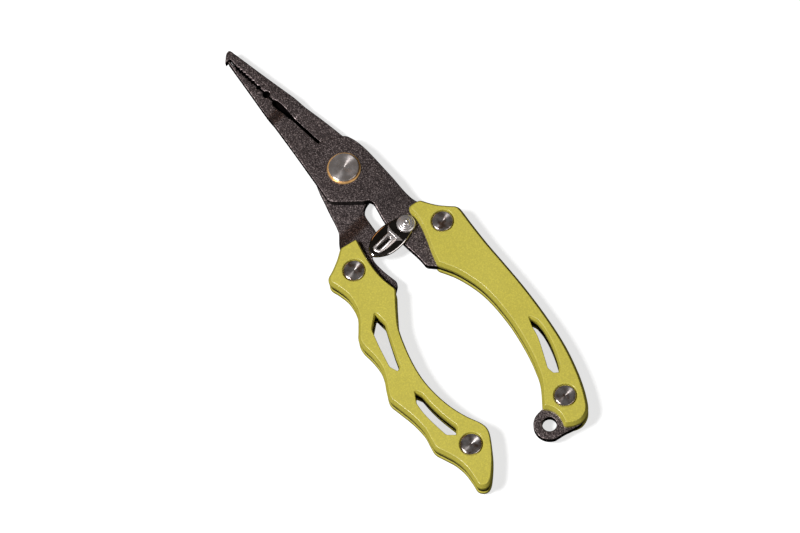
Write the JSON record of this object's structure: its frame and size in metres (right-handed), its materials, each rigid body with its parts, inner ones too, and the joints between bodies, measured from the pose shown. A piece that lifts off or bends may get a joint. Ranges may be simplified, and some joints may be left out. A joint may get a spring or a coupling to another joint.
{
  "type": "fishing pliers",
  "caption": "Long-nose split-ring fishing pliers with offset skeleton handles, a hooked nose, a lanyard lug and a thumb lock.",
  "frame": {"origin": "on the pivot axis, in the plane that the rear faces of the grips and of the pivot nut lie in", "axes": "+X from the pivot towards the jaw tip, +Z along the pivot from the rear nut to the front bolt head, +Y towards the finger-scalloped handle"},
  "size_m": [0.17, 0.0619, 0.0094],
  "materials": {
    "coated_plate": "matte, finely speckled",
    "lime_grip": "satin, fine metallic fleck",
    "turned_steel": "spin-turned rings",
    "brass_ring": "satin",
    "spring_steel": "drawn wire",
    "polished_chrome": "polished"
  },
  "bodies": {
    "front_lever": {"front_lever_plate": "coated_plate", "thumb_grip_front": "lime_grip", "thumb_grip_rear": "lime_grip", "thumb_grip_bolt_upper": "turned_steel", "thumb_grip_bolt_lower": "turned_steel", "thumb_grip_nut_upper": "turned_steel", "thumb_grip_nut_lower": "turned_steel", "pivot_bolt": "turned_steel", "pivot_nut": "turned_steel", "pivot_bush": "brass_ring", "pivot_washer_front": "brass_ring", "pivot_washer_rear": "brass_ring", "pivot_spacer_washer": "brass_ring", "pivot_torsion_spring": "spring_steel", "lock_rivet": "polished_chrome", "lock_wave_washer": "spring_steel"},
    "rear_lever": {"rear_lever_plate": "coated_plate", "scalloped_grip_front": "lime_grip", "scalloped_grip_rear": "lime_grip", "scalloped_grip_bolt_upper": "turned_steel", "scalloped_grip_bolt_lower": "turned_steel", "scalloped_grip_nut_upper": "turned_steel", "scalloped_grip_nut_lower": "turned_steel"},
    "lock": {"lock_lever": "polished_chrome"}
  },
  "joints": [
    {"name": "pivot_open", "type": "hinge", "parent": "front_lever", "child": "rear_lever", "pos_m": [0, 0, 0.0047], "axis": [0, 0, -1], "range_deg": [0, 22], "deforming": ["pivot_torsion_spring"]},
    {"name": "lock_swing", "type": "hinge", "parent": "front_lever", "child": "lock", "pos_m": [-0.0276, -0.0005, 0.0066], "axis": [0, 0, 1], "range_deg": [0, 40]}
  ]
}
